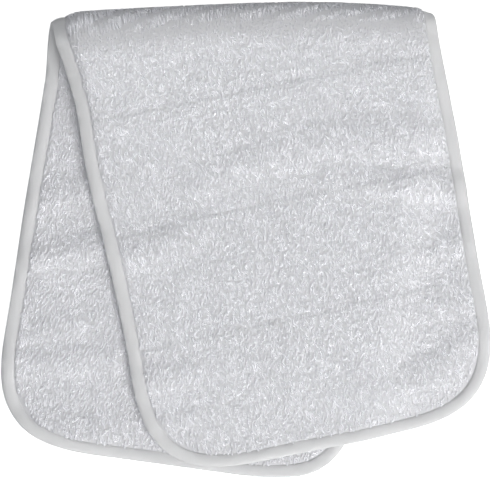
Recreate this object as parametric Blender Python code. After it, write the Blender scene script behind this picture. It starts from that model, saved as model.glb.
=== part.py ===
"""A white terry burp cloth with a bound edge, folded once across and laid flat."""
import math

import bpy
import numpy as np

# The cloth unfolded, in metres; "along" is zero at the fold and positive in the half on top
WIDTH = 0.203
UPPER_LENGTH = 0.2554
LOWER_LENGTH = 0.2639
CORNER_REACH = 0.0725
CORNER_POWER = 3.3

# The fold: its slant across the cloth, and the turn of the folded cloth in plan
FOLD_SLANT = math.radians(10.1)
FOLD_TURN = math.radians(0.8)
FOLD_HALF_ARC = 0.00785
FOLD_RADIUS_LEFT = 0.0065
FOLD_RADIUS_RIGHT = 0.0045
FOLD_EDGE_PINCH = 0.0025
FOLD_EDGE_REACH = 0.012

# How the half on top comes down from the fold: soft start, distance, steepness at first
FOLD_SOFT = 0.005
FOLD_FALL = 0.105
FOLD_FALL_POWER = 1.35

# The top of the fold leans back, most at its left end, and evens out along the cloth
FOLD_LEAN = 0.0025
FOLD_LEAN_LEFT = 0.0035
FOLD_LEAN_START = 0.010
FOLD_LEAN_REACH = 0.080
FOLD_LEAN_FADE = 0.060

# The fold's outermost line: how far out it lies, and how it drops back to both sides
FOLD_LINE = 0.0068
FOLD_BOW_CENTRE = 0.020
FOLD_BOW_LEFT = 0.00265
FOLD_BOW_LEFT_REACH = 0.100
FOLD_BOW_RIGHT = 0.00500
FOLD_BOW_RIGHT_REACH = 0.080
FOLD_BOW_FADE = 0.090

# The binding is shorter than the terry, so it draws the two ends of the fold back
DRAW_LEFT = 0.0044
DRAW_LEFT_START = 0.0
DRAW_LEFT_REACH = 0.0160
DRAW_RIGHT = 0.0026
DRAW_RIGHT_START = 0.0030
DRAW_RIGHT_REACH = 0.0070
DRAW_FADE = 0.040

# Thickness of the terry with its loops, and the air between the two halves
TERRY_THICKNESS = 0.0030
LAYER_GAP = 0.0005
STEP_START = 0.0015
STEP_REACH = 0.026

# The long edges are not quite straight: side, centre along, reach, shift across
WANDER = (
    (-1.0, 0.040, 0.028, 0.0003),
    (-1.0, 0.078, 0.042, -0.0014),
    (-1.0, 0.155, 0.046, 0.0007),
    (-1.0, 0.222, 0.042, -0.0009),
    (-1.0, -0.025, 0.036, -0.0024),
    (-1.0, -0.062, 0.080, 0.0012),
    (-1.0, -0.160, 0.100, 0.0003),
    (-1.0, -0.235, 0.055, -0.0008),
    (1.0, 0.018, 0.030, 0.0006),
    (1.0, 0.112, 0.055, 0.0005),
    (1.0, 0.205, 0.045, 0.0005),
)

# The right-hand corners hang a little lower than the left: drop, start across, reach
UPPER_DROP = 0.0008
UPPER_DROP_START = -0.015
UPPER_DROP_REACH = 0.045
LOWER_DROP = 0.0018
LOWER_DROP_START = 0.060
LOWER_DROP_REACH = 0.030

# Mesh counts: cells across, cells down each half, cells round the fold
CELLS_ACROSS = 20
CELLS_DOWN = 28
CELLS_FOLD = 10
FIELD_INSET = 0.0090

# Edge curves: fine points along a corner and a straight side, then cells of this length
# or this much turn, whichever comes first
CORNER_POINTS = 241
SIDE_POINTS = 60
EDGE_CELL = 0.011
EDGE_TURN = 0.16

# Terry edge section: inset from the cloth's edge, half thickness
TERRY_EDGE = (
    (0.0081, 0.00148),
    (0.0075, 0.00120),
    (0.0073, 0.00038),
    (0.00125, 0.00035),
)

# Binding section over the top: inset from the cloth's edge, height from the middle
BINDING_OUTER = (
    (0.0070, 0.00104),
    (0.0058, 0.00128),
    (0.0040, 0.00143),
    (0.0024, 0.00138),
    (0.0010, 0.00104),
    (0.0003, 0.00060),
    (0.0000, 0.00000),
)
BINDING_INNER = (
    (0.0009, 0.00050),
    (0.0070, 0.00068),
)

# Soft ridges: from across, from along, to across, to along, spread, height
RIDGES = (
    (-0.043, 0.095, 0.001, 0.085, 0.0070, 0.0012),
    (0.001, 0.085, 0.032, 0.085, 0.0090, 0.0019),
    (0.032, 0.085, 0.066, 0.091, 0.0095, 0.0026),
    (0.066, 0.091, 0.096, 0.096, 0.0090, 0.0018),
    (0.031, 0.106, 0.066, 0.117, 0.0070, 0.0016),
    (0.066, 0.117, 0.094, 0.125, 0.0070, 0.0025),
    (0.073, 0.160, 0.095, 0.155, 0.0060, 0.0012),
    (0.058, 0.189, 0.089, 0.191, 0.0060, 0.0007),
    (0.046, 0.231, 0.070, 0.225, 0.0090, 0.0016),
    (0.070, 0.225, 0.089, 0.211, 0.0080, 0.0014),
    (-0.094, 0.126, -0.074, 0.126, 0.0070, 0.0013),
    (-0.074, 0.126, -0.047, 0.117, 0.0070, 0.0010),
    (-0.093, 0.197, -0.069, 0.198, 0.0065, 0.0013),
    (-0.093, 0.221, -0.073, 0.223, 0.0050, 0.0009),
    (-0.012, 0.193, -0.014, 0.225, 0.0070, 0.0007),
    (0.006, 0.051, 0.002, 0.085, 0.0070, 0.0006),
    (-0.092, -0.127, -0.068, -0.117, 0.0070, 0.0013),
    (-0.091, -0.159, -0.057, -0.146, 0.0065, 0.0019),
    (-0.093, -0.202, -0.064, -0.192, 0.0055, 0.0009),
    (-0.093, -0.219, -0.042, -0.209, 0.0070, 0.0014),
    (-0.081, -0.256, -0.038, -0.251, 0.0090, 0.0017),
)
RIDGE_REACH = 1.8


def clear_scene():
    """Remove whatever the new scene starts with."""
    for item in list(bpy.data.objects):
        bpy.data.objects.remove(item, do_unlink=True)


def ease(value):
    """Run smoothly from nought to one, flat at both ends."""
    value = np.clip(value, 0.0, 1.0)
    return value * value * (3.0 - 2.0 * value)


def fold_radius(place, across):
    """Radius of the fold at a place on the fold line, tighter at the bound edges."""
    share = np.clip(place / WIDTH + 0.5, 0.0, 1.0)
    radius = FOLD_RADIUS_LEFT + (FOLD_RADIUS_RIGHT - FOLD_RADIUS_LEFT) * share
    inset = WIDTH / 2 - np.abs(across)
    return radius - FOLD_EDGE_PINCH * (1.0 - ease(inset / FOLD_EDGE_REACH))


def fold_front(place):
    """How far out the fold's outermost line lies, set back towards its two ends."""
    off = place - FOLD_BOW_CENTRE
    left = FOLD_BOW_LEFT * (np.abs(off) / FOLD_BOW_LEFT_REACH) ** 1.5
    right = FOLD_BOW_RIGHT * (off / FOLD_BOW_RIGHT_REACH) ** 2
    return FOLD_LINE - np.where(off < 0.0, left, right)


def fold_lean(place):
    """How far the top of the fold leans back from its outermost line."""
    left = np.clip((-place - FOLD_LEAN_START) / FOLD_LEAN_REACH, 0.0, 1.0) ** 1.5
    return FOLD_LEAN + FOLD_LEAN_LEFT * left


def edge_draw(across):
    """How far the binding draws the fold back near the cloth's two long edges."""
    inset = WIDTH / 2 - np.abs(across)
    left = DRAW_LEFT * (1.0 - ease((inset - DRAW_LEFT_START) / DRAW_LEFT_REACH))
    right = DRAW_RIGHT * (1.0 - ease((inset - DRAW_RIGHT_START) / DRAW_RIGHT_REACH))
    return np.where(across < 0.0, left, right)


def ridges(across, along):
    """Height of the soft ridges at a place on the flat cloth."""
    total = np.zeros_like(across)
    for from_across, from_along, to_across, to_along, spread_out, height in RIDGES:
        run_across = to_across - from_across
        run_along = to_along - from_along
        share = (across - from_across) * run_across + (along - from_along) * run_along
        share = np.clip(share / (run_across ** 2 + run_along ** 2), 0.0, 1.0)
        off_across = across - from_across - share * run_across
        off_along = along - from_along - share * run_along
        far = (off_across ** 2 + off_along ** 2) / (RIDGE_REACH * spread_out) ** 2
        total = np.maximum(total, height * np.clip(1.0 - far, 0.0, 1.0) ** 2)
    return total


def beyond_lower_edge(across, down):
    """Distance outside the edge of the half underneath, negative inside it."""
    side = np.maximum(np.abs(across) - (WIDTH / 2 - CORNER_REACH), 0.0)
    end = np.maximum(down - (LOWER_LENGTH - CORNER_REACH), 0.0)
    power = CORNER_POWER
    return (side ** power + end ** power) ** (1.0 / power) - CORNER_REACH


def uneven(across, along):
    """Where a point of the even flat cloth lies on the hand-cut one."""
    shift = np.zeros_like(across)
    for side, centre, reach, amount in WANDER:
        far = ((along - centre) / reach) ** 2
        weight = np.clip(0.5 + side * across / WIDTH, 0.0, 1.0)
        shift = shift + amount * weight * np.clip(1.0 - far, 0.0, 1.0) ** 2
    upper = UPPER_DROP * ease((across - UPPER_DROP_START) / UPPER_DROP_REACH)
    lower = LOWER_DROP * ease((across - LOWER_DROP_START) / LOWER_DROP_REACH)
    drop = upper * ease(along / UPPER_LENGTH) - lower * ease(-along / LOWER_LENGTH)
    return across + shift, along + drop


def middle(across, along):
    """Place of the cloth's middle surface once folded."""
    cosine = math.cos(FOLD_SLANT)
    sine = math.sin(FOLD_SLANT)
    cut_across, cut_along = uneven(across, along)
    travel = cut_along * cosine - cut_across * sine
    place = cut_across * cosine + cut_along * sine
    radius = fold_radius(place, across)
    angle = np.clip(travel / FOLD_HALF_ARC, -1.0, 1.0) * (math.pi / 2)
    lapse = np.maximum(np.abs(travel) - FOLD_HALF_ARC, 0.0)
    down = lapse - radius * np.cos(angle)
    front = fold_front(place) - radius - TERRY_THICKNESS / 2
    down = down - front * np.clip(1.0 - lapse / FOLD_BOW_FADE, 0.0, 1.0) ** 2
    down = down + edge_draw(across) * (1.0 - ease(lapse / DRAW_FADE))
    lean = fold_lean(place) * (1.0 - np.cos(angle)) * (1.0 - ease(lapse / FOLD_LEAN_FADE))
    down = down + np.where(travel > 0.0, lean, 0.0)
    # Support under the half on top, read from the half underneath
    reach = lapse + FOLD_HALF_ARC
    under_across = place * cosine + reach * sine
    under_down = reach * cosine - place * sine
    outside = beyond_lower_edge(under_across, under_down)
    step = 1.0 - ease((outside - STEP_START) / STEP_REACH)
    under = ridges(under_across, -under_down)
    base = step * (TERRY_THICKNESS + LAYER_GAP + under)
    run = lapse ** 2 / (lapse + FOLD_SOFT)
    fall = np.clip(1.0 - run / FOLD_FALL, 0.0, 1.0) ** FOLD_FALL_POWER
    upper = base + (2.0 * radius - base) * fall
    loop = radius * (1.0 + np.sin(angle))
    rise = np.where(travel > FOLD_HALF_ARC, upper, loop)
    rise = rise + ridges(across, along) * (1.0 - fall)
    x = place * math.cos(FOLD_TURN) + down * math.sin(FOLD_TURN)
    y = place * math.sin(FOLD_TURN) - down * math.cos(FOLD_TURN)
    return np.stack([x, y, rise + TERRY_THICKNESS / 2], axis=-1)


def folded(points, heights):
    """Places of flat points lifted off the middle surface by their heights."""
    across = points[:, 0]
    along = points[:, 1]
    small = 0.0002
    run_across = middle(across + small, along) - middle(across - small, along)
    run_along = middle(across, along + small) - middle(across, along - small)
    normal = np.cross(run_along, run_across)
    normal /= np.linalg.norm(normal, axis=1)[:, None]
    return middle(across, along) + normal * np.asarray(heights)[:, None]


def corner(length, steps):
    """Edge points and outward directions round the right-hand corner of one half."""
    turn = np.linspace(0.0, math.pi / 2, steps)
    side = np.cos(turn) ** (2.0 / CORNER_POWER)
    end = np.sin(turn) ** (2.0 / CORNER_POWER)
    points = np.stack(
        [
            WIDTH / 2 - CORNER_REACH + CORNER_REACH * side,
            length - CORNER_REACH + CORNER_REACH * end,
        ],
        axis=1,
    )
    normal = np.stack([side ** (CORNER_POWER - 1), end ** (CORNER_POWER - 1)], axis=1)
    return points, normal / np.linalg.norm(normal, axis=1)[:, None]


def spread(points, normals, cells):
    """Resample an edge curve, closer together where it turns."""
    steps = np.linalg.norm(np.diff(points, axis=0), axis=1)
    dots = np.clip(np.sum(normals[1:] * normals[:-1], axis=1), -1.0, 1.0)
    weight = np.concatenate([[0.0], np.cumsum(steps / EDGE_CELL + np.arccos(dots) / EDGE_TURN)])
    wanted = np.linspace(0.0, weight[-1], cells + 1)
    spot = np.stack([np.interp(wanted, weight, points[:, k]) for k in (0, 1)], axis=1)
    out = np.stack([np.interp(wanted, weight, normals[:, k]) for k in (0, 1)], axis=1)
    out /= np.linalg.norm(out, axis=1)[:, None]
    return spot, out


def mirrored(points):
    """The same points on the other side of the cloth."""
    return points * np.array([-1.0, 1.0])


def half_curves(length, slant):
    """Left side, right side and end of one half, each as points and directions."""
    points, normals = corner(length, CORNER_POINTS)
    half = len(points) // 2
    set_off = FOLD_HALF_ARC / math.cos(FOLD_SLANT)
    curves = []
    for way in (-1.0, 1.0):
        near = np.array([WIDTH / 2, way * WIDTH / 2 * slant + set_off])
        line = np.linspace(near, points[0], SIDE_POINTS)[:-1]
        side = np.concatenate([line, points[: half + 1]])
        straight = np.tile([1.0, 0.0], (SIDE_POINTS - 1, 1))
        out = np.concatenate([straight, normals[: half + 1]])
        spot, face = spread(side, out, CELLS_DOWN)
        if way < 0:
            spot = mirrored(spot)
            face = mirrored(face)
        curves.append((spot, face))
    right = points[half:]
    right_out = normals[half:]
    end = np.concatenate([mirrored(right), right[::-1]])
    end_out = np.concatenate([mirrored(right_out), right_out[::-1]])
    curves.append(spread(end, end_out, CELLS_ACROSS))
    return curves


def half_grid(length, slant):
    """Inner grid of one half with the outward directions of its three free sides."""
    (left, left_out), (right, right_out), (end, end_out) = half_curves(length, slant)
    left = left - FIELD_INSET * left_out
    right = right - FIELD_INSET * right_out
    end = end - FIELD_INSET * end_out
    across = np.linspace(left[0, 0], right[0, 0], CELLS_ACROSS + 1)
    set_off = FOLD_HALF_ARC / math.cos(FOLD_SLANT)
    near = np.stack([across, across * slant + set_off], axis=1)
    left[0] = near[0]
    right[0] = near[-1]
    lengths = np.linalg.norm(np.diff(left + right, axis=0), axis=1)
    down = np.concatenate([[0.0], np.cumsum(lengths)]) / np.sum(lengths)
    over = np.linspace(0.0, 1.0, CELLS_ACROSS + 1)
    a = over[None, :, None]
    b = down[:, None, None]
    grid = (1 - b) * near[None] + b * end[None]
    grid = grid + (1 - a) * left[:, None] + a * right[:, None]
    grid = grid - (1 - a) * (1 - b) * near[0] - a * (1 - b) * near[-1]
    grid = grid - (1 - a) * b * end[0] - a * b * end[-1]
    return grid, left_out, right_out, end_out


def flat_cloth():
    """Whole inner grid of the unfolded cloth and the directions round its border."""
    tangent = math.tan(FOLD_SLANT)
    upper, upper_left, upper_right, upper_end = half_grid(UPPER_LENGTH, tangent)
    lower, lower_left, lower_right, lower_end = half_grid(LOWER_LENGTH, -tangent)
    turned = np.array([1.0, -1.0])
    lower = (lower * turned)[::-1]
    loop = []
    across = upper[0, :, 0]
    for k in range(1, CELLS_FOLD):
        travel = FOLD_HALF_ARC * (2.0 * k / CELLS_FOLD - 1.0)
        along = across * tangent + travel / math.cos(FOLD_SLANT)
        loop.append(np.stack([across, along], axis=1))
    grid = np.concatenate([lower, np.array(loop), upper])
    sideways = np.tile([1.0, 0.0], (CELLS_FOLD - 1, 1))
    left_out = np.concatenate([(lower_left * turned)[::-1], -sideways, upper_left])
    right_out = np.concatenate([(lower_right * turned)[::-1], sideways, upper_right])
    rows, columns = grid.shape[:2]
    border = [(j, 0, left_out[j]) for j in range(rows)]
    border += [(rows - 1, i, upper_end[i]) for i in range(1, columns)]
    border += [(j, columns - 1, right_out[j]) for j in range(rows - 2, -1, -1)]
    border += [(0, i, lower_end[i] * turned) for i in range(columns - 2, 0, -1)]
    return grid, border


def ring(grid, border, inset):
    """Flat points all round the cloth at one inset from its edge."""
    return np.array([grid[j, i] + out * (FIELD_INSET - inset) for j, i, out in border])


def bridge(first, second, inward):
    """Triangles between two closed rings, all split the same way across the edge band."""
    faces = []
    count = len(first)
    for k in range(count):
        after = (k + 1) % count
        if inward:
            faces.append((first[k], first[after], second[k]))
            faces.append((first[after], second[after], second[k]))
        else:
            faces.append((first[k], first[after], second[after]))
            faces.append((first[k], second[after], second[k]))
    return faces


def skin(start, rows, columns, outer):
    """Triangles over one face of the inner grid."""
    faces = []
    for j in range(rows - 1):
        for i in range(columns - 1):
            near = start + j * columns + i
            far = near + columns
            pair = [(near, near + 1, far + 1), (near, far + 1, far)]
            faces += pair if outer else [face[::-1] for face in pair]
    return faces


def terry_mesh(grid, border):
    """The terry: two skins, a thin lip all round, one closed body."""
    rows, columns = grid.shape[:2]
    flat = grid.reshape(-1, 2)
    count = len(border)
    points = []
    faces = []
    rims = {}
    total = 0
    for way in (1.0, -1.0):
        points.append(folded(flat, np.full(len(flat), way * TERRY_THICKNESS / 2)))
        faces += skin(total, rows, columns, way > 0)
        loops = [[total + j * columns + i for j, i, _ in border]]
        total += len(flat)
        for inset, half in TERRY_EDGE:
            points.append(folded(ring(grid, border, inset), np.full(count, way * half)))
            loops.append(list(range(total, total + count)))
            total += count
        rims[way] = loops
    for first, second in zip(rims[1.0][:-1], rims[1.0][1:]):
        faces += bridge(first, second, False)
    faces += bridge(rims[1.0][-1], rims[-1.0][-1], False)
    back = rims[-1.0][::-1]
    for first, second in zip(back[:-1], back[1:]):
        faces += bridge(first, second, True)
    return np.concatenate(points), faces


def binding_mesh(grid, border):
    """The binding: a folded strip that wraps the cloth's edge, one closed ring."""
    count = len(border)
    below_outer = [(inset, -height) for inset, height in BINDING_OUTER[-2::-1]]
    below_inner = [(inset, -height) for inset, height in BINDING_INNER[::-1]]
    section = list(BINDING_OUTER) + below_outer + below_inner + list(BINDING_INNER)
    points = []
    faces = []
    for inset, height in section:
        points.append(folded(ring(grid, border, inset), np.full(count, height)))
    for k in range(len(section)):
        after = (k + 1) % len(section)
        first = range(k * count, (k + 1) * count)
        second = range(after * count, (after + 1) * count)
        faces += bridge(first, second, section[after][0] > section[k][0])
    return np.concatenate(points), faces


def closed_volume(points, faces):
    """Volume enclosed by a mesh, positive when its faces look outwards."""
    total = 0.0
    for face in faces:
        a, b, c = points[list(face)]
        total += np.dot(a, np.cross(b, c)) / 6.0
    return total


def fabric(name, colour, roughness):
    """A plain cloth material."""
    material = bpy.data.materials.new(name)
    material.use_nodes = True
    shader = material.node_tree.nodes["Principled BSDF"]
    shader.inputs["Base Color"].default_value = (*colour, 1.0)
    shader.inputs["Roughness"].default_value = roughness
    shader.inputs["Metallic"].default_value = 0.0
    return material


def add_piece(name, points, faces, material):
    """Make one smooth shaded object from points and faces."""
    if closed_volume(points, faces) < 0.0:
        faces = [face[::-1] for face in faces]
    mesh = bpy.data.meshes.new(name)
    mesh.from_pydata([tuple(map(float, point)) for point in points], [], faces)
    mesh.update()
    for polygon in mesh.polygons:
        polygon.use_smooth = True
    mesh.materials.append(material)
    piece = bpy.data.objects.new(name, mesh)
    bpy.context.scene.collection.objects.link(piece)
    return piece


def settle(point_sets):
    """Centre the pieces in plan and bring resting faces to exactly nought."""
    together = np.concatenate(point_sets)
    low = together.min(axis=0)
    high = together.max(axis=0)
    shift = np.array([(low[0] + high[0]) / 2, (low[1] + high[1]) / 2, 0.0])
    settled = []
    for points in point_sets:
        moved = points - shift
        moved[np.abs(moved[:, 2]) < 2e-6, 2] = 0.0
        settled.append(moved)
    return settled


def build():
    """Build the cloth and its binding."""
    clear_scene()
    grid, border = flat_cloth()
    terry_points, terry_faces = terry_mesh(grid, border)
    binding_points, binding_faces = binding_mesh(grid, border)
    terry_points, binding_points = settle([terry_points, binding_points])
    terry_cloth = fabric("white_terry", (0.80, 0.80, 0.83), 0.95)
    smooth_tape = fabric("white_binding", (0.80, 0.80, 0.81), 0.85)
    add_piece("terry_cloth", terry_points, terry_faces, terry_cloth)
    add_piece("edge_binding", binding_points, binding_faces, smooth_tape)


build()
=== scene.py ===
# %% [markdown]
# # A folded terry burp cloth
# A burp cloth is a strip of thick looped cotton that lies over a shoulder. This one has
# rounded corners and a smooth strip of binding round its whole edge. It has been folded once
# across, a little out of square, and laid flat, so the two halves fan apart at the bottom.
# The lesson starts from the solids of the cloth and dresses them: first the ground fabric,
# then thousands of real yarn loops, then the domed binding.

# %% Load the solids
import math

import bpy
import numpy as np
from mathutils import Matrix, Vector


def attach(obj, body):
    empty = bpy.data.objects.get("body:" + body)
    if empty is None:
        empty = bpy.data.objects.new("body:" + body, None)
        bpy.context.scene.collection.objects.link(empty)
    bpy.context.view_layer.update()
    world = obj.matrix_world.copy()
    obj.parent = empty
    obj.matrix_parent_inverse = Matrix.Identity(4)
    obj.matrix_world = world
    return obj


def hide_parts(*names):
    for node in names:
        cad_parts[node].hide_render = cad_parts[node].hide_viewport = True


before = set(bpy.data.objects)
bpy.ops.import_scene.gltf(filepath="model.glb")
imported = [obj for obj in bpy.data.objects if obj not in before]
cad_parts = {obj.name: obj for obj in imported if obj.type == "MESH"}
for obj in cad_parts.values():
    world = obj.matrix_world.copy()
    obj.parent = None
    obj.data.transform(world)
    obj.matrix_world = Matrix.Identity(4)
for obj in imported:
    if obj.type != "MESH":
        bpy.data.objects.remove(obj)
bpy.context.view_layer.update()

# %% [markdown]
# ## The camera
# The cloth was seen from above and a little from the fold's side, from about a metre away
# with a long lens. A long lens keeps the outline nearly square on, so small errors in the
# distance hardly show. The camera's three axes are worked out by hand from where it stands
# and what it looks at, because a level horizon is then certain.

# %% Camera
EYE = Vector((-0.0865, 0.1723, 1.0855))
AIM = Vector((-0.0017, 0.0027, 0.0020))
LENS = 145.9


def look(eye, aim):
    """A camera's place and turn, with the cloth's fold upwards in the picture."""
    back = (eye - aim).normalized()
    right = Vector((0.0, 1.0, 0.0)).cross(back).normalized()
    up = back.cross(right)
    turn = Matrix((right, up, back)).transposed().to_4x4()
    return Matrix.Translation(eye) @ turn


bpy.ops.object.select_all(action="DESELECT")
bpy.ops.object.camera_add()
camera = bpy.context.object
camera.matrix_world = look(EYE, AIM)
camera.data.lens = LENS
camera.data.sensor_width = 36.0
camera.data.clip_start = 0.01
camera.data.clip_end = 50.0
camera.data.dof.use_dof = False
bpy.context.scene.camera = camera
print("camera stands", round((EYE - AIM).length, 3), "m away")

# %% [markdown]
# ## Floor and light
# White cloth on a white table is lit from all round, with one large soft window to the lower
# right of the picture. The sky dome gives the all-round light, weaker from below the horizon;
# one big lamp gives the side that makes the loops, the binding and the soft ridges readable.
# The table is so bright that it shows as plain white with no shadow. So the floor glows a
# little of its own, and it is hidden from the cloth's reflected light, which would otherwise
# wash out the fold's shaded front.

# %% Floor and light
FLOOR_SIZE = 12.0
FLOOR_DROP = 0.0004
SKY_GLOW = 0.46
FLOOR_GLOW = 0.16
WINDOW_PLACE = (1.25, -1.55, 1.25)
WINDOW_SIZE = 1.6
WINDOW_POWER = 44.0
WINDOW_COLOUR = (1.0, 0.985, 0.965)
bpy.ops.object.select_all(action="DESELECT")
bpy.ops.mesh.primitive_plane_add(size=FLOOR_SIZE, location=(0.0, 0.0, -FLOOR_DROP))
floor = bpy.context.object
floor.name = "pale_floor"
floor.visible_diffuse = False
floor.visible_shadow = False


def lamp(name, place, size, power, colour):
    """A square soft lamp that faces the cloth."""
    bpy.ops.object.select_all(action="DESELECT")
    bpy.ops.object.light_add(type="AREA", location=place)
    light = bpy.context.object
    light.name = name
    light.rotation_euler = (Vector((0, 0, 0)) - Vector(place)).to_track_quat("-Z", "Y").to_euler()
    light.data.shape = "SQUARE"
    light.data.size = size
    light.data.energy = power
    light.data.color = colour
    return light


window = lamp("window_light", WINDOW_PLACE, WINDOW_SIZE, WINDOW_POWER, WINDOW_COLOUR)

world = bpy.data.worlds.new("pale_room")
bpy.context.scene.world = world
world.use_nodes = True
room = world.node_tree
direction = room.nodes.new("ShaderNodeTexCoord")
height = room.nodes.new("ShaderNodeSeparateXYZ")
span = room.nodes.new("ShaderNodeMapRange")
sky = room.nodes["Background"]
sky.inputs["Color"].default_value = (0.975, 0.985, 1.0, 1.0)
room.links.new(direction.outputs["Generated"], height.inputs[0])
room.links.new(height.outputs["Z"], span.inputs["Value"])
span.inputs["From Min"].default_value = -0.10
span.inputs["From Max"].default_value = 0.25
span.inputs["To Min"].default_value = FLOOR_GLOW
span.inputs["To Max"].default_value = SKY_GLOW
room.links.new(span.outputs["Result"], sky.inputs["Strength"])
bpy.context.scene.view_settings.view_transform = "Standard"
bpy.context.scene.view_settings.look = "None"
bpy.context.scene.view_settings.exposure = 0.0
print("lamps:", window.name)

# %% [markdown]
# ## Sums with shader sockets
# A material's pattern is a chain of small sums. Writing them as Python expressions is easier
# to read than placing Math nodes one by one, so a small class wraps a socket and turns
# plus, minus and times into nodes. One method adds every other kind of node.

# %% Shader helper


class Reading:
    """A shader value that can be added, subtracted and multiplied."""

    def __init__(self, recipe, socket):
        self.recipe = recipe
        self.socket = socket

    def sum_node(self, operation, first, second):
        """Add one Math node and read its answer."""
        return self.recipe.add("ShaderNodeMath", {"operation": operation}, {0: first, 1: second})

    def __add__(self, other):
        return self.sum_node("ADD", self, other)

    def __radd__(self, other):
        return self.sum_node("ADD", other, self)

    def __sub__(self, other):
        return self.sum_node("SUBTRACT", self, other)

    def __rsub__(self, other):
        return self.sum_node("SUBTRACT", other, self)

    def __mul__(self, other):
        return self.sum_node("MULTIPLY", self, other)

    def __rmul__(self, other):
        return self.sum_node("MULTIPLY", other, self)


class Recipe:
    """A new material and the one way of adding nodes to it."""

    def __init__(self, name, roughness, sheen, soft=0.0):
        self.material = bpy.data.materials.new(name)
        self.material.use_nodes = True
        self.tree = self.material.node_tree
        self.shader = self.tree.nodes["Principled BSDF"]
        self.shader.inputs["Roughness"].default_value = roughness
        self.shader.inputs["Sheen Weight"].default_value = sheen
        self.shader.inputs["Sheen Roughness"].default_value = 0.6
        self.shader.inputs["Specular IOR Level"].default_value = 0.2
        self.shader.inputs["Subsurface Weight"].default_value = soft
        self.shader.inputs["Subsurface Radius"].default_value = (1.0, 1.0, 1.0)
        self.shader.inputs["Subsurface Scale"].default_value = 0.0030
        self.shader.subsurface_method = "BURLEY"

    def join(self, value, socket):
        """Link a reading to a socket, or set a plain number or colour on it."""
        if isinstance(value, Reading):
            self.tree.links.new(value.socket, socket)
        else:
            socket.default_value = value

    def add(self, kind, settings, sockets, output=0):
        """Add a node: its settings first, then its sockets; read one output."""
        node = self.tree.nodes.new(kind)
        for name, value in settings.items():
            setattr(node, name, value)
        for name, value in sockets.items():
            self.join(value, node.inputs[name])
        return Reading(self, node.outputs[output])

    def mix(self, amount, first, second):
        """Blend two colours by an amount from nought to one."""
        settings = {"data_type": "RGBA", "blend_type": "MIX"}
        return self.add("ShaderNodeMix", settings, {0: amount, 6: first, 7: second}, 2)

    def feed(self, socket, value):
        """Send a reading to the shader."""
        self.join(value, self.shader.inputs[socket])


print("shader helper ready")

# %% [markdown]
# ## Shape of the fold
# Everything on the cloth is placed on the flat, unfolded cloth first and then folded. A place
# on the flat cloth has three numbers: how far across, how far along from the fold, and how
# high above the middle of the fabric. One function turns the three into a place in the room,
# so ground fabric, loops and binding can never drift apart. The sizes are those of the
# solids, in metres.

# %% Sizes of the cloth
WIDTH = 0.203
UPPER_LENGTH = 0.2554
LOWER_LENGTH = 0.2639
CORNER_REACH = 0.0725
CORNER_POWER = 3.3
FOLD_SLANT = math.radians(10.1)
FOLD_TURN = math.radians(0.8)
FOLD_HALF_ARC = 0.00785
FOLD_RADIUS_LEFT = 0.0065
FOLD_RADIUS_RIGHT = 0.0045
FOLD_EDGE_PINCH = 0.0025
FOLD_EDGE_REACH = 0.012

# How the half on top comes down from the fold: soft start, distance, steepness at first
FOLD_SOFT = 0.005
FOLD_FALL = 0.105
FOLD_FALL_POWER = 1.35

# The top of the fold leans back, most at its left end, and evens out along the cloth
FOLD_LEAN = 0.0025
FOLD_LEAN_LEFT = 0.0035
FOLD_LEAN_START = 0.010
FOLD_LEAN_REACH = 0.080
FOLD_LEAN_FADE = 0.060

# The fold's outermost line: how far out it lies, and how it drops back to both sides
FOLD_LINE = 0.0068
FOLD_BOW_CENTRE = 0.020
FOLD_BOW_LEFT = 0.00265
FOLD_BOW_LEFT_REACH = 0.100
FOLD_BOW_RIGHT = 0.00500
FOLD_BOW_RIGHT_REACH = 0.080
FOLD_BOW_FADE = 0.090

# The binding is shorter than the terry, so it draws the two ends of the fold back
DRAW_LEFT = 0.0044
DRAW_LEFT_START = 0.0
DRAW_LEFT_REACH = 0.0160
DRAW_RIGHT = 0.0026
DRAW_RIGHT_START = 0.0030
DRAW_RIGHT_REACH = 0.0070
DRAW_FADE = 0.040

# Thickness with the loops, the air between the halves, and the step off the half underneath
THICKNESS = 0.0030
LAYER_GAP = 0.0005
STEP_START = 0.0015
STEP_REACH = 0.026
PLAN_SHIFT = np.array([0.001895, -0.126900])

# Soft ridges: from across, from along, to across, to along, spread, height
RIDGES = (
    (-0.043, 0.095, 0.001, 0.085, 0.0070, 0.0012),
    (0.001, 0.085, 0.032, 0.085, 0.0090, 0.0019),
    (0.032, 0.085, 0.066, 0.091, 0.0095, 0.0026),
    (0.066, 0.091, 0.096, 0.096, 0.0090, 0.0018),
    (0.031, 0.106, 0.066, 0.117, 0.0070, 0.0016),
    (0.066, 0.117, 0.094, 0.125, 0.0070, 0.0025),
    (0.073, 0.160, 0.095, 0.155, 0.0060, 0.0012),
    (0.058, 0.189, 0.089, 0.191, 0.0060, 0.0007),
    (0.046, 0.231, 0.070, 0.225, 0.0090, 0.0016),
    (0.070, 0.225, 0.089, 0.211, 0.0080, 0.0014),
    (-0.094, 0.126, -0.074, 0.126, 0.0070, 0.0013),
    (-0.074, 0.126, -0.047, 0.117, 0.0070, 0.0010),
    (-0.093, 0.197, -0.069, 0.198, 0.0065, 0.0013),
    (-0.093, 0.221, -0.073, 0.223, 0.0050, 0.0009),
    (-0.012, 0.193, -0.014, 0.225, 0.0070, 0.0007),
    (0.006, 0.051, 0.002, 0.085, 0.0070, 0.0006),
    (-0.092, -0.127, -0.068, -0.117, 0.0070, 0.0013),
    (-0.091, -0.159, -0.057, -0.146, 0.0065, 0.0019),
    (-0.093, -0.202, -0.064, -0.192, 0.0055, 0.0009),
    (-0.093, -0.219, -0.042, -0.209, 0.0070, 0.0014),
    (-0.081, -0.256, -0.038, -0.251, 0.0090, 0.0017),
)
RIDGE_REACH = 1.8

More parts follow.
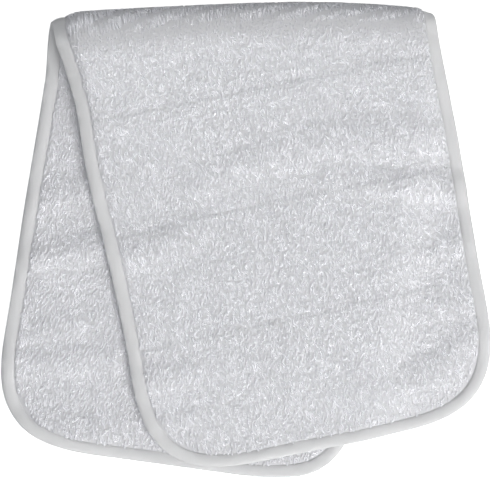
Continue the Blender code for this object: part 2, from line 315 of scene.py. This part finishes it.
# The long edges are not quite straight: side, centre along, reach, shift across
WANDER = (
    (-1.0, 0.040, 0.028, 0.0003),
    (-1.0, 0.078, 0.042, -0.0014),
    (-1.0, 0.155, 0.046, 0.0007),
    (-1.0, 0.222, 0.042, -0.0009),
    (-1.0, -0.025, 0.036, -0.0024),
    (-1.0, -0.062, 0.080, 0.0012),
    (-1.0, -0.160, 0.100, 0.0003),
    (-1.0, -0.235, 0.055, -0.0008),
    (1.0, 0.018, 0.030, 0.0006),
    (1.0, 0.112, 0.055, 0.0005),
    (1.0, 0.205, 0.045, 0.0005),
)

# The ends are not cut quite square: the right corners hang a little lower
UPPER_DROP = 0.0008
UPPER_DROP_START = -0.015
UPPER_DROP_REACH = 0.045
LOWER_DROP = 0.0018
LOWER_DROP_START = 0.060
LOWER_DROP_REACH = 0.030
print("cloth is", WIDTH, "by", round(UPPER_LENGTH + LOWER_LENGTH, 4), "m unfolded")

# %% [markdown]
# ## Folding a point
# A towel's fold is a soft tube, not a crease: it stands about four times as high as the
# cloth is thick, leans back at its top and then runs down over ten centimetres until the
# half on top lies on the half underneath. Each of these habits is a small function of its
# own, and `middle` adds them up. The surface's upright direction is measured from four
# neighbouring points, so a height above the cloth always stands square to it.

# %% Fold function


def ease(value):
    """Run smoothly from nought to one, flat at both ends."""
    value = np.clip(value, 0.0, 1.0)
    return value * value * (3.0 - 2.0 * value)


def beyond(across, down, length):
    """Distance outside one half's rounded edge, negative inside it."""
    side = np.maximum(np.abs(across) - (WIDTH / 2 - CORNER_REACH), 0.0)
    end = np.maximum(down - (length - CORNER_REACH), 0.0)
    power = CORNER_POWER
    return (side ** power + end ** power) ** (1.0 / power) - CORNER_REACH


def fold_radius(place, across):
    """Radius of the fold at a place on the fold line, tighter at the bound edges."""
    share = np.clip(place / WIDTH + 0.5, 0.0, 1.0)
    radius = FOLD_RADIUS_LEFT + (FOLD_RADIUS_RIGHT - FOLD_RADIUS_LEFT) * share
    inset = WIDTH / 2 - np.abs(across)
    return radius - FOLD_EDGE_PINCH * (1.0 - ease(inset / FOLD_EDGE_REACH))


def fold_front(place):
    """How far out the fold's outermost line lies, set back towards its two ends."""
    off = place - FOLD_BOW_CENTRE
    left = FOLD_BOW_LEFT * (np.abs(off) / FOLD_BOW_LEFT_REACH) ** 1.5
    right = FOLD_BOW_RIGHT * (off / FOLD_BOW_RIGHT_REACH) ** 2
    return FOLD_LINE - np.where(off < 0.0, left, right)


def fold_lean(place):
    """How far the top of the fold leans back from its outermost line."""
    left = np.clip((-place - FOLD_LEAN_START) / FOLD_LEAN_REACH, 0.0, 1.0) ** 1.5
    return FOLD_LEAN + FOLD_LEAN_LEFT * left


def edge_draw(across):
    """How far the binding draws the fold back near the cloth's two long edges."""
    inset = WIDTH / 2 - np.abs(across)
    left = DRAW_LEFT * (1.0 - ease((inset - DRAW_LEFT_START) / DRAW_LEFT_REACH))
    right = DRAW_RIGHT * (1.0 - ease((inset - DRAW_RIGHT_START) / DRAW_RIGHT_REACH))
    return np.where(across < 0.0, left, right)


def ridges(across, along):
    """Height of the soft ridges at a place on the flat cloth."""
    total = np.zeros_like(across)
    for from_across, from_along, to_across, to_along, spread_out, height in RIDGES:
        run_across = to_across - from_across
        run_along = to_along - from_along
        share = (across - from_across) * run_across + (along - from_along) * run_along
        share = np.clip(share / (run_across ** 2 + run_along ** 2), 0.0, 1.0)
        off_across = across - from_across - share * run_across
        off_along = along - from_along - share * run_along
        far = (off_across ** 2 + off_along ** 2) / (RIDGE_REACH * spread_out) ** 2
        total = np.maximum(total, height * np.clip(1.0 - far, 0.0, 1.0) ** 2)
    return total


def uneven(across, along):
    """Flat places moved a little, because no cloth is cut and stitched quite true."""
    shift = np.zeros_like(across)
    for side, centre, reach, amount in WANDER:
        far = ((along - centre) / reach) ** 2
        weight = np.clip(0.5 + side * across / WIDTH, 0.0, 1.0)
        shift = shift + amount * weight * np.clip(1.0 - far, 0.0, 1.0) ** 2
    upper = UPPER_DROP * ease((across - UPPER_DROP_START) / UPPER_DROP_REACH)
    lower = LOWER_DROP * ease((across - LOWER_DROP_START) / LOWER_DROP_REACH)
    drop = upper * ease(along / UPPER_LENGTH) - lower * ease(-along / LOWER_LENGTH)
    return across + shift, along + drop


def over_fold(across, along):
    """Distance travelled past the fold line, and place along that line."""
    cosine = math.cos(FOLD_SLANT)
    sine = math.sin(FOLD_SLANT)
    return along * cosine - across * sine, across * cosine + along * sine


def middle(across, along):
    """Place of the fabric's middle surface once folded."""
    travel, place = over_fold(*uneven(across, along))
    radius = fold_radius(place, across)
    angle = np.clip(travel / FOLD_HALF_ARC, -1.0, 1.0) * (math.pi / 2)
    lapse = np.maximum(np.abs(travel) - FOLD_HALF_ARC, 0.0)
    down = lapse - radius * np.cos(angle)
    front = fold_front(place) - radius - THICKNESS / 2
    down = down - front * np.clip(1.0 - lapse / FOLD_BOW_FADE, 0.0, 1.0) ** 2
    down = down + edge_draw(across) * (1.0 - ease(lapse / DRAW_FADE))
    lean = fold_lean(place) * (1.0 - np.cos(angle)) * (1.0 - ease(lapse / FOLD_LEAN_FADE))
    down = down + np.where(travel > 0.0, lean, 0.0)
    # Support under the half on top, read from the half underneath
    reach = lapse + FOLD_HALF_ARC
    under_across = place * math.cos(FOLD_SLANT) + reach * math.sin(FOLD_SLANT)
    under_down = reach * math.cos(FOLD_SLANT) - place * math.sin(FOLD_SLANT)
    outside = beyond(under_across, under_down, LOWER_LENGTH)
    step = 1.0 - ease((outside - STEP_START) / STEP_REACH)
    under = ridges(under_across, -under_down)
    base = step * (THICKNESS + LAYER_GAP + under)
    run = lapse ** 2 / (lapse + FOLD_SOFT)
    fall = np.clip(1.0 - run / FOLD_FALL, 0.0, 1.0) ** FOLD_FALL_POWER
    upper = base + (2.0 * radius - base) * fall
    loop = radius * (1.0 + np.sin(angle))
    rise = np.where(travel > FOLD_HALF_ARC, upper, loop)
    rise = rise + ridges(across, along) * (1.0 - fall)
    x = place * math.cos(FOLD_TURN) + down * math.sin(FOLD_TURN)
    y = place * math.sin(FOLD_TURN) - down * math.cos(FOLD_TURN)
    return np.stack([x - PLAN_SHIFT[0], y - PLAN_SHIFT[1], rise + THICKNESS / 2], axis=-1)


def folded(across, along, height):
    """Places in the room of points on, above or below the flat cloth."""
    small = 0.0002
    run_across = middle(across + small, along) - middle(across - small, along)
    run_along = middle(across, along + small) - middle(across, along - small)
    normal = np.cross(run_along, run_across)
    normal /= np.linalg.norm(normal, axis=-1)[..., None]
    return middle(across, along) + normal * height[..., None]


probe = folded(np.array([0.0]), np.array([0.0]), np.array([THICKNESS / 2]))
print("outermost point of the fold", np.round(probe[0], 4))

# %% [markdown]
# ## Edge of the cloth
# The border is a rectangle whose corners are squarer than a circle. It is walked once all
# round, and each point on it keeps the direction that points out of the cloth. Anything that
# follows the edge, such as the binding, is then placed by two numbers: how far round, and
# how far in.

# %% Walk round the edge


def border(step):
    """Points round the cloth's edge about one step apart, with outward directions."""
    turn = np.linspace(0.0, math.pi / 2, 401)
    side = np.cos(turn) ** (2.0 / CORNER_POWER)
    end = np.sin(turn) ** (2.0 / CORNER_POWER)
    out = np.stack([side ** (CORNER_POWER - 1), end ** (CORNER_POWER - 1)], axis=1)
    out /= np.linalg.norm(out, axis=1)[:, None]
    points = []
    normals = []
    for x_way, y_way in ((1, 1), (-1, 1), (-1, -1), (1, -1)):
        length = UPPER_LENGTH if y_way > 0 else LOWER_LENGTH
        corner = np.stack(
            [
                x_way * (WIDTH / 2 - CORNER_REACH + CORNER_REACH * side),
                y_way * (length - CORNER_REACH + CORNER_REACH * end),
            ],
            axis=1,
        )
        facing = out * np.array([x_way, y_way])
        order = slice(None) if x_way * y_way > 0 else slice(None, None, -1)
        points.append(corner[order])
        normals.append(facing[order])
    points = np.concatenate(points + [points[0][:1]])
    normals = np.concatenate(normals + [normals[0][:1]])
    lengths = np.linalg.norm(np.diff(points, axis=0), axis=1)
    run = np.concatenate([[0.0], np.cumsum(lengths)])
    keep = np.concatenate([[True], lengths > 1e-9])
    count = int(round(run[-1] / step))
    wanted = np.arange(count) * run[-1] / count
    spot = np.stack([np.interp(wanted, run[keep], points[keep, k]) for k in (0, 1)], axis=1)
    face = np.stack([np.interp(wanted, run[keep], normals[keep, k]) for k in (0, 1)], axis=1)
    return spot, face / np.linalg.norm(face, axis=1)[:, None], run[-1]


edge_points, edge_out, edge_length = border(0.0030)
print("edge is", round(float(edge_length), 3), "m round,", len(edge_points), "steps")

# %% [markdown]
# ## Ground fabric
# Under the loops lies a plain woven ground. A grid is added at the cloth's flat size with
# three-millimetre cells, its outer points are pulled in to the rounded edge, and the whole
# grid is then folded point by point. Solidify would give the fabric its thickness, but the
# thickness has to shrink to a thin lip where the binding grips it, so the second face is laid
# with the same fold function and the two are bridged along their rims.

# %% Ground fabric
ACROSS_CELLS = 64
ALONG_CELLS = 172
LIP_INSET = 0.0020
LIP_HALF = 0.00018
BODY_HALF = 0.00088
BODY_INSET = 0.0066
BODY_REACH = 0.0012
CROWD_ACROSS = 1.35
CROWD_ALONG = 1.5


def new_object():
    """The object an operator has just made."""
    return bpy.context.view_layer.objects.active


def deselect():
    """Nothing is selected, so the next operator acts on its own new object."""
    bpy.ops.object.select_all(action="DESELECT")


def rounded(u, v):
    """Move a point of the unit square grid inside the rounded cloth."""
    length = np.where(v >= 0.0, UPPER_LENGTH, LOWER_LENGTH) - LIP_INSET
    half = WIDTH / 2 - LIP_INSET
    reach = CORNER_REACH
    into = np.clip((np.abs(v) * length - (length - reach)) / reach, 0.0, 1.0)
    # squarer rows near an end give up width as the corner turns
    limit = half - reach + reach * (1.0 - into ** CORNER_POWER) ** (1.0 / CORNER_POWER)
    return u * limit, v * length


deselect()
bpy.ops.mesh.primitive_grid_add(
    x_subdivisions=ACROSS_CELLS, y_subdivisions=ALONG_CELLS, size=2.0, location=(0, 0, 0)
)
ground = new_object()
ground.name = "ground_fabric"
flat = np.empty(len(ground.data.vertices) * 3)
ground.data.vertices.foreach_get("co", flat)
flat = flat.reshape(-1, 3)
# rows bunch up near the ends and near the fold, where the shape changes most
v = flat[:, 1]
v = np.sign(v) * (1.0 - (1.0 - np.abs(v)) ** CROWD_ALONG)
u, v = rounded(np.sin(flat[:, 0] * CROWD_ACROSS) / math.sin(CROWD_ACROSS), v)
inset = -np.where(v >= 0.0, beyond(u, v, UPPER_LENGTH), beyond(u, -v, LOWER_LENGTH))
thin = LIP_HALF + (BODY_HALF - LIP_HALF) * ease((inset - BODY_INSET) / BODY_REACH)
bpy.ops.object.mode_set(mode="EDIT")
bpy.ops.mesh.select_all(action="SELECT")
bpy.ops.mesh.duplicate()
bpy.ops.mesh.flip_normals()
bpy.ops.object.mode_set(mode="OBJECT")
both = np.concatenate([folded(u, v, thin), folded(u, v, -thin)])
ground.data.vertices.foreach_set("co", both.ravel())
ground.data.update()
bpy.ops.object.mode_set(mode="EDIT")
bpy.ops.mesh.select_all(action="DESELECT")
bpy.ops.mesh.select_non_manifold()
bpy.ops.mesh.bridge_edge_loops()
bpy.ops.mesh.select_all(action="SELECT")
bpy.ops.mesh.normals_make_consistent(inside=False)
bpy.ops.object.mode_set(mode="OBJECT")
bpy.ops.object.shade_smooth()
print("ground fabric:", len(ground.data.polygons), "faces")

# %% [markdown]
# ## One yarn loop
# Terry gets its name from small arches of yarn that stand up from the ground. One arch is
# modelled: a circle of five points stands at one foot and is spun half a turn to the other
# foot. It is kept to a few dozen faces because it is about to be repeated thousands of times.

# %% One yarn loop
YARN_RADIUS = 0.00044
ARCH_RADIUS = 0.00060
deselect()
bpy.ops.mesh.primitive_circle_add(
    vertices=5, radius=YARN_RADIUS, fill_type="NGON", location=(0.0, 0.0, 0.0)
)
loop = new_object()
loop.name = "loop_pattern"
bpy.ops.object.mode_set(mode="EDIT")
bpy.ops.mesh.select_all(action="SELECT")
bpy.ops.transform.translate(value=(0.0, -ARCH_RADIUS, 0.0))
bpy.ops.mesh.spin(steps=4, angle=math.pi, center=(0.0, 0.0, 0.0), axis=(1.0, 0.0, 0.0))
bpy.ops.mesh.select_all(action="SELECT")
bpy.ops.mesh.remove_doubles(threshold=1e-6)
bpy.ops.mesh.normals_make_consistent(inside=False)
bpy.ops.mesh.quads_convert_to_tris()
bpy.ops.object.mode_set(mode="OBJECT")
print("loop:", len(loop.data.vertices), "points", len(loop.data.polygons), "triangles",
      "height", round(max(p.co.z for p in loop.data.vertices) * 1000, 2), "mm")

# %% [markdown]
# ## The pile
# The weaver's loops stand in rows, each row shifted half a step against the next, but washing
# pushes them about: they twist, lean and bunch in patches. So every copy of the loop gets its
# own turn, lean and height, part of it from slow waves over the cloth and part at random with
# a fixed seed. Loops are only planted where the cloth can be seen: on the outer face from the
# upper half round the fold, and on the inner face where the lower half shows beside it. They
# are laid on the flat cloth and folded with it, so the rows turn round the fold as real ones
# do. The pile is split into several pieces to keep each one light.

# %% Plant the loops
ROW_STEP = 0.0023
COLUMN_STEP = 0.00150
FIELD_INSET = 0.0076
ROOT_HEIGHT = 0.00040
TALLEST = 0.00150
rng = np.random.default_rng(7)


def inset_of(across, along):
    """Distance in from the cloth's edge."""
    upper = beyond(across, along, UPPER_LENGTH)
    lower = beyond(across, -along, LOWER_LENGTH)
    return -np.where(along >= 0.0, upper, lower)


def roots():
    """Places of the loops' middles on the flat cloth, row by row."""
    rows = np.arange(-LOWER_LENGTH, UPPER_LENGTH, ROW_STEP)
    columns = np.arange(-WIDTH / 2, WIDTH / 2, COLUMN_STEP)
    across, along = np.meshgrid(columns, rows)
    across = across + (np.arange(len(rows)) % 2)[:, None] * COLUMN_STEP / 2
    across = across.ravel() + rng.normal(0.0, 0.00026, across.size)
    along = along.ravel() + rng.normal(0.0, 0.00055, along.size)
    inside = inset_of(across, along) > FIELD_INSET
    return across[inside], along[inside]


def shown_faces(across, along):
    """Which loops show on the outer face, and which on the inner face."""
    travel, place = over_fold(across, along)
    outer = travel > -(FOLD_HALF_ARC + 0.010)
    cover_across = place * math.cos(FOLD_SLANT) + travel * math.sin(FOLD_SLANT)
    cover_down = -travel * math.cos(FOLD_SLANT) + place * math.sin(FOLD_SLANT)
    covered = beyond(cover_across, cover_down, UPPER_LENGTH) < -0.010
    inner = (travel < -FOLD_HALF_ARC) & ~covered
    return outer, inner


def waves(across, along, phase):
    """A slow wandering value between about -1 and 1 over the cloth."""
    total = np.sin(across * 190.0 + along * 70.0 + phase)
    total = total + np.sin(across * -90.0 + along * 160.0 + phase * 1.7)
    total = total + np.sin(across * 330.0 - along * 240.0 + phase * 2.3)
    return total / 3.0


def planted(across, along, side):
    """Points and flat chart of one loop copied to every root and folded with the cloth."""
    shape = np.empty(len(loop.data.vertices) * 3)
    loop.data.vertices.foreach_get("co", shape)
    shape = shape.reshape(-1, 3)
    count = len(across)
    turn = 0.16 * waves(across, along, 0.4) + rng.normal(0.0, 0.17, count)
    lean_across = 0.16 * waves(across, along, 2.1) + rng.normal(0.0, 0.17, count)
    lean_along = 0.10 * waves(across, along, 4.4) + rng.normal(0.0, 0.13, count)
    wide = rng.uniform(1.30, 1.65, count)
    long = rng.uniform(1.50, 2.10, count)
    tall = rng.uniform(0.86, 1.00, count)
    travel, place = over_fold(across, along)
    tall = tall * (1.0 - 0.42 * ease(1.4 - np.abs(travel) / (2.0 * FOLD_HALF_ARC)))
    x = shape[None, :, 0] * wide[:, None]
    y = shape[None, :, 1] * long[:, None]
    z = shape[None, :, 2] * tall[:, None]
    lift = np.maximum(z, 0.0)
    x = x + lift * lean_across[:, None]
    y = y + lift * lean_along[:, None]
    cosine = np.cos(turn)[:, None]
    sine = np.sin(turn)[:, None]
    u = across[:, None] + x * cosine - y * sine
    v = along[:, None] + x * sine + y * cosine
    height = np.minimum(ROOT_HEIGHT + z, TALLEST)
    chart = np.stack([u.ravel() / WIDTH + 0.5, v.ravel() / LOWER_LENGTH / 2 + 0.5], axis=1)
    return folded(u.ravel(), v.ravel(), side * height.ravel()), chart


def pile_piece(name, across, along, side):
    """One piece of pile made of many copies of the loop."""
    points, chart = planted(across, along, side)
    pattern = np.empty(len(loop.data.polygons) * 3, dtype=np.int32)
    loop.data.polygons.foreach_get("vertices", pattern)
    pattern = pattern.reshape(-1, 3)
    if side < 0:
        pattern = pattern[:, ::-1]
    size = len(loop.data.vertices)
    faces = pattern[None] + (np.arange(len(across)) * size)[:, None, None]
    mesh = bpy.data.meshes.new(name)
    mesh.vertices.add(len(points))
    mesh.vertices.foreach_set("co", points.ravel())
    mesh.loops.add(faces.size)
    mesh.loops.foreach_set("vertex_index", faces.ravel().astype(np.int32))
    mesh.polygons.add(faces.size // 3)
    mesh.polygons.foreach_set("loop_start", np.arange(0, faces.size, 3, dtype=np.int32))
    mesh.polygons.foreach_set("use_smooth", np.ones(faces.size // 3, dtype=bool))
    layer = mesh.uv_layers.new(name="OFBake")
    layer.uv.foreach_set("vector", chart[faces.ravel()].astype(np.float32).ravel())
    mesh.update(calc_edges=True)
    mesh.validate()
    piece = bpy.data.objects.new(name, mesh)
    bpy.context.scene.collection.objects.link(piece)
    return piece


root_across, root_along = roots()
on_outer, on_inner = shown_faces(root_across, root_along)
print("loops on the outer face", int(on_outer.sum()), "on the inner face", int(on_inner.sum()))

# %% [markdown]
# ## The pile as pieces
# One object with all the loops would be too heavy to handle, so each face's loops are shared
# out between pieces of a few thousand loops. A chart of the flat cloth is stored with each
# piece, so a pattern could be painted on the loops as if the cloth lay open.

# %% Make the pile's pieces
MOST_LOOPS = 4300
pile = []
for face_name, chosen, side in (("upper", on_outer, 1.0), ("lower", on_inner, -1.0)):
    picked = np.flatnonzero(chosen)
    parts = int(math.ceil(len(picked) / MOST_LOOPS))
    for number, group in enumerate(np.array_split(picked, parts)):
        piece = pile_piece(
            "pile_" + face_name + "_" + str(number + 1), root_across[group], root_along[group], side
        )
        pile.append(piece)
        print(piece.name, len(piece.data.polygons), "triangles")
bpy.data.objects.remove(loop, do_unlink=True)

# %% [markdown]
# ## The binding
# A bias strip is folded round the raw edge and sewn through. In section it is a flattened
# tube: low and flat where the seam pulls it down against the terry, full and round at the
# outer edge. A torus would do for a round rug, but a ring with this many steps is easier to
# raise from a circle: it is extruded once for each point of the section, its last ring is
# bridged to its first, and then every point is laid at its place round the border.

# %% Binding
# inset from the cloth's edge, height from the middle of the fabric
SECTION_TOP = (
    (0.00715, 0.00030),
    (0.00705, 0.00052),
    (0.00670, 0.00078),
    (0.00610, 0.00104),
    (0.00530, 0.00126),
    (0.00440, 0.00140),
    (0.00350, 0.00145),
    (0.00265, 0.00140),
    (0.00190, 0.00127),
    (0.00125, 0.00107),
    (0.00070, 0.00082),
    (0.00030, 0.00054),
    (0.00006, 0.00026),
    (0.00000, 0.00000),
)
top = np.array(SECTION_TOP)
bottom = top[-2::-1] * np.array([1.0, -1.0])
inner = np.array([(0.0066, -0.00030), (0.0012, -0.00030), (0.0012, 0.00030), (0.0066, 0.00030)])
section = np.concatenate([top, bottom, inner])
round_steps = len(edge_points)
deselect()
bpy.ops.mesh.primitive_circle_add(vertices=round_steps, radius=1.0)
binding = new_object()
binding.name = "edge_binding_tape"
bpy.ops.object.mode_set(mode="EDIT")
bpy.ops.mesh.select_all(action="SELECT")
for level in range(len(section) - 1):
    bpy.ops.mesh.extrude_region_move(TRANSFORM_OT_translate={"value": (0.0, 0.0, 1.0)})
bpy.ops.object.mode_set(mode="OBJECT")


def points_of(piece):
    """A mesh's points as rows of three numbers."""
    flat = np.empty(len(piece.data.vertices) * 3)
    piece.data.vertices.foreach_get("co", flat)
    return flat.reshape(-1, 3)


raised = points_of(binding)
level = np.rint(raised[:, 2]).astype(int)
angle = np.arctan2(raised[:, 1], raised[:, 0]) / (2 * math.pi) * round_steps
order = np.rint(angle).astype(int) % round_steps
binding.data.vertices.foreach_set("select", (level == 0) | (level == len(section) - 1))
binding.data.edges.foreach_set("select", np.zeros(len(binding.data.edges), dtype=bool))
binding.data.polygons.foreach_set("select", np.zeros(len(binding.data.polygons), dtype=bool))
bpy.ops.object.mode_set(mode="EDIT")
bpy.ops.mesh.select_mode(type="VERT")
bpy.ops.mesh.bridge_edge_loops()
bpy.ops.object.mode_set(mode="OBJECT")
run = np.arange(round_steps) * edge_length / round_steps
swell = 1.0 + 0.05 * np.sin(run * 410.0) * np.sin(run * 57.0) + 0.03 * np.sin(run * 860.0 + 1.0)
ins = np.broadcast_to(section[None, :, 0], (round_steps, len(section)))
high = section[None, :, 1] * np.minimum(swell, 1.03)[:, None]
spots = edge_points[:, None, :] - edge_out[:, None, :] * ins[:, :, None]
ring = folded(spots[..., 0].ravel(), spots[..., 1].ravel(), high.ravel())
ring = ring.reshape(round_steps, len(section), 3)
binding.data.vertices.foreach_set("co", ring[order, level].ravel())
binding.data.update()
bpy.ops.object.mode_set(mode="EDIT")
bpy.ops.mesh.select_all(action="SELECT")
bpy.ops.mesh.normals_make_consistent(inside=False)
bpy.ops.object.mode_set(mode="OBJECT")
bpy.ops.object.shade_smooth()
print("binding:", len(binding.data.polygons), "faces,", len(section), "points in its section")

# %% [markdown]
# ## Materials of the terry
# Bleached cotton is a cool white that lets light sink in a few millimetres and come out
# again, which softens the shade between the loops. So the yarn scatters light inside, and two
# noises of different size drift its tone a little, as washing does. The ground shows only
# between the loops, as a fine rib.

# %% Yarn and ground weave
yarn = Recipe("terry_yarn", 0.95, 0.0, 1.0)
place = yarn.add("ShaderNodeTexCoord", {}, {}, 3)
fleck = yarn.add("ShaderNodeTexNoise", {}, {"Vector": place, "Scale": 420.0, "Detail": 2.0})
drift = yarn.add("ShaderNodeTexNoise", {}, {"Vector": place, "Scale": 22.0, "Detail": 3.0})
tone = yarn.mix(fleck * 0.6 + drift * 0.4, (0.74, 0.745, 0.78, 1.0), (0.80, 0.80, 0.83, 1.0))
yarn.feed("Base Color", tone)

weave = Recipe("ground_weave", 0.95, 0.1)
place = weave.add("ShaderNodeTexCoord", {}, {}, 3)
rib = weave.add("ShaderNodeTexWave", {}, {"Vector": place, "Scale": 900.0, "Distortion": 1.5})
tone = weave.mix(rib, (0.74, 0.745, 0.77, 1.0), (0.82, 0.82, 0.845, 1.0))
weave.feed("Base Color", tone)
bump = weave.add("ShaderNodeBump", {}, {"Strength": 0.5, "Distance": 0.0002, "Height": rib})
weave.feed("Normal", bump)

# %% [markdown]
# ## Materials of the binding and the table
# The binding is a smooth knit: the same white without loops, with a fine grain and slow
# puckers from the sewing. The table is plain and pale.

# %% Binding and table
tape = Recipe("binding_tape", 0.85, 0.15, 0.6)
place = tape.add("ShaderNodeTexCoord", {}, {}, 3)
knit = tape.add("ShaderNodeTexNoise", {}, {"Vector": place, "Scale": 1100.0, "Detail": 1.0})
soft = tape.add("ShaderNodeTexNoise", {}, {"Vector": place, "Scale": 60.0, "Detail": 3.0})
tone = tape.mix(soft, (0.74, 0.745, 0.755, 1.0), (0.78, 0.785, 0.795, 1.0))
tape.feed("Base Color", tone)
bump = tape.add(
    "ShaderNodeBump", {}, {"Strength": 0.35, "Distance": 0.0003, "Height": knit * 0.4 + soft}
)
tape.feed("Normal", bump)

plain = Recipe("plain_floor", 0.9, 0.0)
plain.feed("Base Color", (0.95, 0.95, 0.95, 1.0))
plain.feed("Emission Color", (1.0, 1.0, 1.0, 1.0))
plain.feed("Emission Strength", 0.8)

ground.data.materials.append(weave.material)
binding.data.materials.append(tape.material)
floor.data.materials.append(plain.material)
for piece in pile:
    piece.data.materials.append(yarn.material)
print("materials:", sorted(m.name for m in bpy.data.materials))

# %% [markdown]
# ## Attach the pieces
# The cloth has one rigid body, so every piece rides on it. The ground fabric stands for the terry
# solid and the tape for the binding solid, so those two solids are hidden.

# %% Attach the pieces
for piece in [ground, binding] + pile:
    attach(piece, "root")
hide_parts("terry_cloth")
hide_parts("edge_binding")
